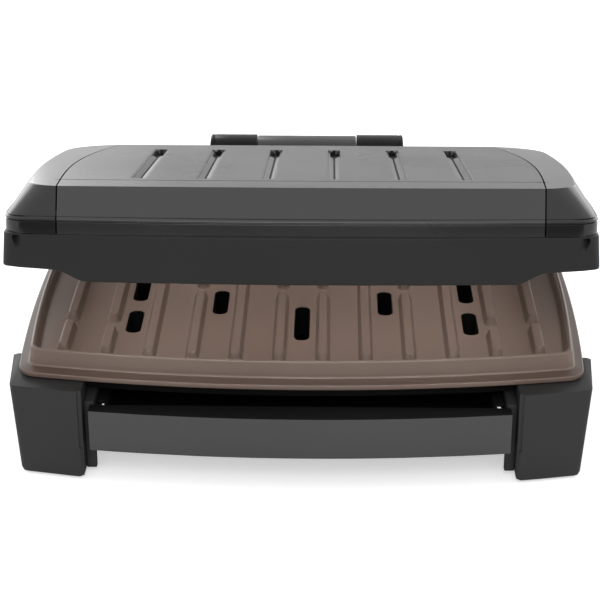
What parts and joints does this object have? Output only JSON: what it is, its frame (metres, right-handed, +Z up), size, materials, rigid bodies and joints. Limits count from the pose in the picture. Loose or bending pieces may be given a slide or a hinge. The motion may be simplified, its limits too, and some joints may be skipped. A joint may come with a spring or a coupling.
{
  "type": "electric contact grill",
  "caption": "Low electric grill with ribbed, sloping cooking plates, a hinged and floating lid, drain slots and a slide-out drip tray.",
  "frame": {"origin": "on the counter, under the middle of the grill's outline", "axes": "+X to the right as seen from the front, +Y to the back, +Z up"},
  "size_m": [0.3394, 0.2878, 0.1701],
  "materials": {
    "housing": "fine matt grain",
    "tray": "fine matt grain",
    "cover": "satin metallic paint",
    "cap": "gloss",
    "cooking_plate": "die-cast, with a bronze non-stick coating",
    "foot_rubber": "matt",
    "steel": "zinc plated",
    "heater_sheath": "oxidised",
    "reflector_sheet": "bright rolled",
    "slide_plastic": "natural nylon",
    "ceramic": "glazed ceramic"
  },
  "bodies": {
    "base": {"base_housing": "housing", "front_leg_left": "housing", "front_leg_right": "housing", "rear_leg_left": "housing", "rear_leg_right": "housing", "side_rail_left": "housing", "side_rail_right": "housing", "rear_housing": "housing", "rear_cover": "housing", "rear_cover_screws": "steel", "cord_gland": "foot_rubber", "terminal_block": "ceramic", "tower_cap_left": "housing", "tower_cap_right": "housing", "foot_front_left": "foot_rubber", "foot_front_right": "foot_rubber", "foot_rear_left": "foot_rubber", "foot_rear_right": "foot_rubber", "lower_plate": "cooking_plate", "lower_plate_screws": "steel", "lower_heater": "heater_sheath", "lower_reflector": "reflector_sheet", "thermostat": "ceramic", "thermal_fuse": "ceramic"},
    "tray": {"drip_tray": "tray"},
    "hinge_carriage": {"hinge_pin": "steel", "slide_block_left": "slide_plastic", "slide_block_right": "slide_plastic"},
    "lid": {"lid_hinge_block": "housing", "lid_hinge_screws": "steel", "lid_frame": "housing", "lid_cover": "cover", "lid_end_cap_left": "cap", "lid_end_cap_right": "cap", "upper_plate": "cooking_plate", "upper_plate_screws": "steel", "upper_heater": "heater_sheath", "upper_reflector": "reflector_sheet"}
  },
  "joints": [
    {"name": "tray_slide", "type": "slide", "parent": "base", "child": "tray", "axis": [0, -1, 0], "range_m": [0, 0.2]},
    {"name": "hinge_float", "type": "slide", "parent": "base", "child": "hinge_carriage", "axis": [0, 0, 1], "range_m": [0, 0.015]},
    {"name": "lid_hinge", "type": "hinge", "parent": "hinge_carriage", "child": "lid", "pos_m": [0, 0.11618, 0.10465], "axis": [-1, 0, 0], "range_deg": [-14, 80]}
  ]
}
